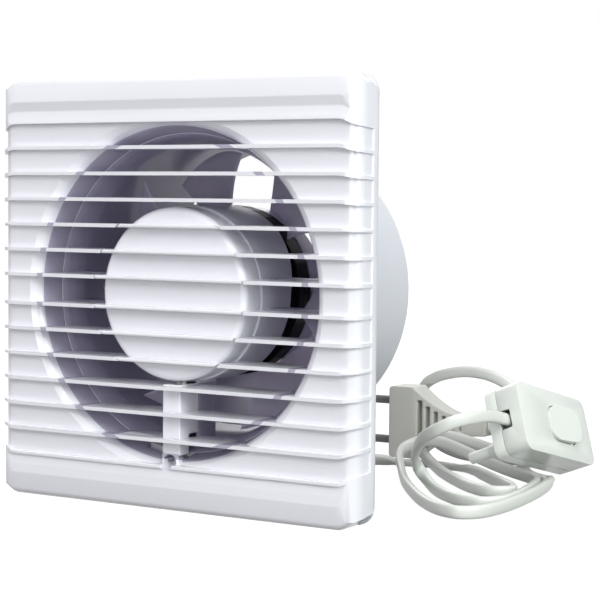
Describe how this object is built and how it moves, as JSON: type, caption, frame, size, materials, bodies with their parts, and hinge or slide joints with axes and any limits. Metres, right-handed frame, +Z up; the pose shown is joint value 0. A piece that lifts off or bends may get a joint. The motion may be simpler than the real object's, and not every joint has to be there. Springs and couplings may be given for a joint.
{
  "type": "window exhaust fan",
  "caption": "Square louvred exhaust fan with a round duct spigot, an axial impeller on a shaded motor, and a flat cord with an in-line rocker switch and a two-pin plug.",
  "frame": {"origin": "under the middle of the fan, on the surface that its lower edge stands on", "axes": "+Z up, -Y out of the grille towards the room, +Y into the duct, +X to the right seen from the room"},
  "size_m": [0.2047, 0.2022, 0.175],
  "materials": {
    "white_gloss": "glossy moulded ABS",
    "white_satin": "satin moulded plastic",
    "off_white": "satin moulded plastic",
    "cord_plastic": "smooth flexible sheath",
    "plug_grey": "satin moulded plastic",
    "sleeve_grey": "satin moulded plastic",
    "black_paint": "black painted steel",
    "steel": "bare steel",
    "brass": "bare brass",
    "copper": "enamelled copper wire",
    "bronze": "sintered bronze",
    "zinc": "zinc-plated steel"
  },
  "bodies": {
    "fan_body": {"front_grille": "white_gloss", "hub_cover": "white_gloss", "rear_housing": "white_gloss", "cable_channel": "white_gloss", "motor_can": "black_paint", "motor_front_plate": "zinc", "stator_core": "steel", "stator_coil_1": "copper", "stator_coil_2": "copper", "stator_coil_3": "copper", "stator_coil_4": "copper", "front_bearing": "bronze", "rear_bearing": "bronze", "motor_screw_1": "zinc", "motor_screw_2": "zinc", "motor_screw_3": "zinc", "terminal_block": "off_white", "terminal_screw_1": "brass", "terminal_screw_2": "brass", "cord_inner_end": "cord_plastic", "cord_clamp": "off_white", "clamp_screw_1": "zinc", "clamp_screw_2": "zinc", "cord_strain_relief": "cord_plastic", "grille_screw": "zinc", "motor_lead_1": "plug_grey", "motor_lead_2": "off_white", "switch_upper_shell": "white_gloss", "switch_lower_shell": "white_gloss", "switch_contact_1": "brass", "switch_contact_2": "brass", "switch_screw_1": "zinc", "switch_screw_2": "zinc", "plug_body": "plug_grey", "plug_pin_1": "zinc", "plug_pin_2": "zinc", "plug_sleeve_1": "sleeve_grey", "plug_sleeve_2": "sleeve_grey", "cord_fan_side": "cord_plastic", "cord_plug_side": "cord_plastic"},
    "rotor_assembly": {"rotor": "steel", "motor_shaft": "steel", "impeller": "white_satin", "impeller_clip": "steel"},
    "rocker": {"switch_rocker": "white_gloss", "switch_bridge": "brass"}
  },
  "joints": [
    {"name": "impeller_spin", "type": "hinge", "parent": "fan_body", "child": "rotor_assembly", "pos_m": [0, 0, 0.0875], "axis": [0, 1, 0], "continuous": true},
    {"name": "rocker_tilt", "type": "hinge", "parent": "fan_body", "child": "rocker", "pos_m": [0.10361, 0.10764, 0.0256], "axis": [-0.3415, 0.2627, 0.9024], "range_deg": [0, 14]}
  ]
}
